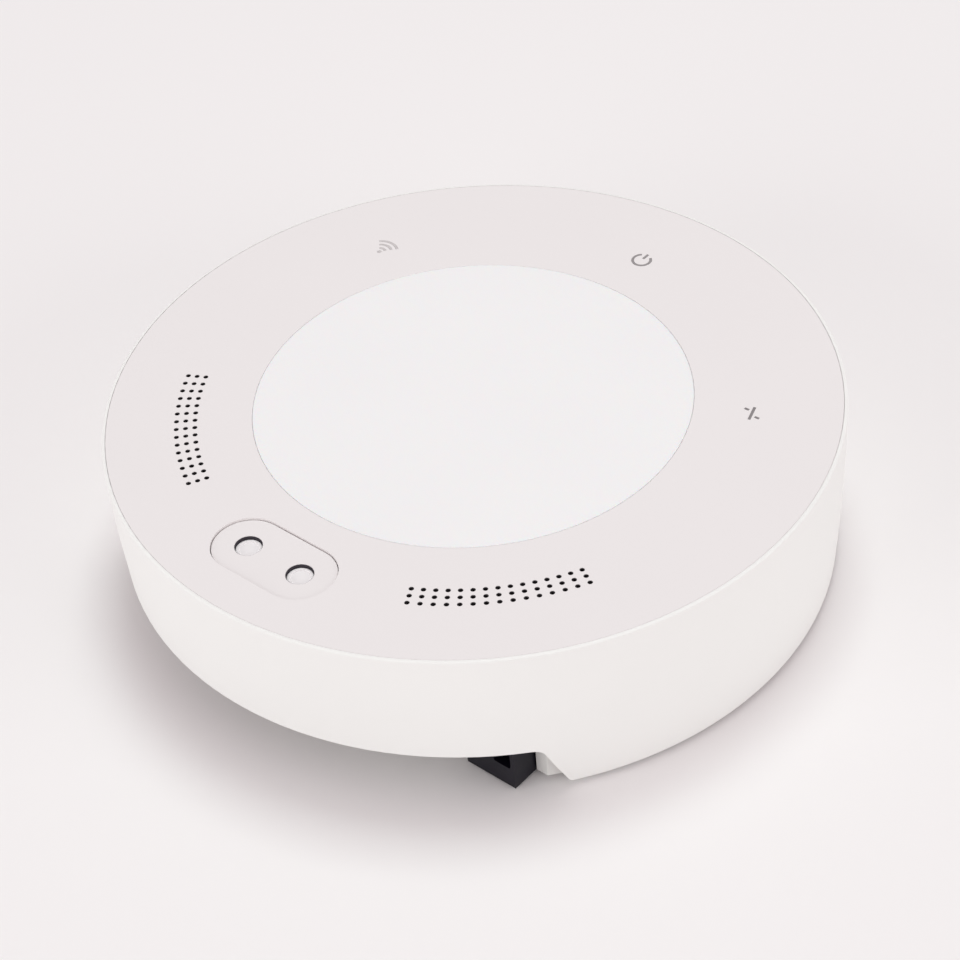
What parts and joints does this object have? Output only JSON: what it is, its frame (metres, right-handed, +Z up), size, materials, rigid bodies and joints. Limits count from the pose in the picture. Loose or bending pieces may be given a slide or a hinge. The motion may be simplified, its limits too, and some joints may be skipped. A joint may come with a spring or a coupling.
{
  "type": "garage door controller",
  "caption": "Low round puck controller with flush light disc, curved sound outlets, sunk push buttons, lit icons and a front cable bay with screw terminal and power jack.",
  "frame": {"origin": "centre of the puck on the plane that its rubber feet stand on", "axes": "+Z up out of the lit top face, -Y towards the push buttons and the cable notch, +X to the right with the buttons nearest"},
  "size_m": [0.128, 0.128, 0.032],
  "materials": {
    "shell_white": "fine spark-eroded texture, satin",
    "ring_grey": "fine matt texture",
    "disc_white": "smooth, light diffusing",
    "bezel_white": "fine matt texture",
    "button_white": "smooth satin",
    "cover_white": "coarse matt texture",
    "foot_rubber": "matt",
    "zinc_steel": "zinc plated",
    "icon_guide": "smoky translucent",
    "mesh_cloth": "woven mesh",
    "board_laminate": "solder mask over woven glass laminate",
    "baffle_white": "smooth matt",
    "led_ceramic": "white package with yellow phosphor",
    "sounder_plastic": "moulded matt",
    "module_laminate": "black solder mask",
    "shield_tin": "tin plated",
    "relay_plastic": "moulded satin",
    "chip_epoxy": "matt moulded epoxy",
    "capacitor_can": "drawn and clear coated",
    "ferrite": "sintered matt",
    "switch_plastic": "moulded satin",
    "plunger_plastic": "moulded satin",
    "jack_plastic": "moulded satin",
    "nickel_brass": "nickel plated",
    "terminal_plastic": "moulded satin",
    "contact_tin": "tin plated"
  },
  "bodies": {
    "housing": {"outer_shell": "shell_white", "top_ring": "ring_grey", "light_disc": "disc_white", "button_bezel": "bezel_white", "bottom_cover": "cover_white", "rubber_feet": "foot_rubber", "power_jack": "jack_plastic", "terminal_block": "terminal_plastic", "circuit_board": "board_laminate", "light_baffle": "baffle_white", "warning_leds": "led_ceramic", "status_leds": "led_ceramic", "sounder_left": "sounder_plastic", "sounder_right": "sounder_plastic", "wireless_module": "module_laminate", "module_shield": "shield_tin", "relay": "relay_plastic", "processor": "chip_epoxy", "capacitors": "capacitor_can", "inductor": "ferrite", "switch_left": "switch_plastic", "switch_right": "switch_plastic", "vent_mesh_left": "mesh_cloth", "vent_mesh_right": "mesh_cloth", "jack_pin": "nickel_brass", "terminal_contacts": "contact_tin", "icon_wifi": "icon_guide", "icon_power": "icon_guide", "icon_link": "icon_guide", "cover_screws": "zinc_steel"},
    "button_left": {"button_left": "button_white", "switch_plunger_left": "plunger_plastic"},
    "button_right": {"button_right": "button_white", "switch_plunger_right": "plunger_plastic"},
    "clamp_plate_left": {"pressure_plate_left": "contact_tin"},
    "clamp_plate_right": {"pressure_plate_right": "contact_tin"},
    "clamp_screw_left": {"clamp_screw_left": "zinc_steel"},
    "clamp_screw_right": {"clamp_screw_right": "zinc_steel"}
  },
  "joints": [
    {"name": "button_left_press", "type": "slide", "parent": "housing", "child": "button_left", "axis": [0, 0, -1], "range_m": [0, 0.00035], "stiffness_N_per_m": 4000, "springref_m": -0.00005},
    {"name": "button_right_press", "type": "slide", "parent": "housing", "child": "button_right", "axis": [0, 0, -1], "range_m": [0, 0.00035], "stiffness_N_per_m": 4000, "springref_m": -0.00005},
    {"name": "clamp_plate_left_lift", "type": "slide", "parent": "housing", "child": "clamp_plate_left", "axis": [0, 0, 1], "range_m": [0, 0.002]},
    {"name": "clamp_screw_left_turn", "type": "hinge", "parent": "clamp_plate_left", "child": "clamp_screw_left", "pos_m": [0.03605, -0.03855, 0.003], "axis": [0, 0, 1], "range_deg": [0, 1440]},
    {"name": "clamp_plate_right_lift", "type": "slide", "parent": "housing", "child": "clamp_plate_right", "axis": [0, 0, 1], "range_m": [0, 0.002]},
    {"name": "clamp_screw_right_turn", "type": "hinge", "parent": "clamp_plate_right", "child": "clamp_screw_right", "pos_m": [0.04113, -0.03855, 0.003], "axis": [0, 0, 1], "range_deg": [0, 1440]}
  ],
  "couplings": [
    {"joint": "clamp_screw_left_turn", "follows": "clamp_plate_left_lift", "rad_per_m": 12566},
    {"joint": "clamp_screw_right_turn", "follows": "clamp_plate_right_lift", "rad_per_m": 12566}
  ]
}
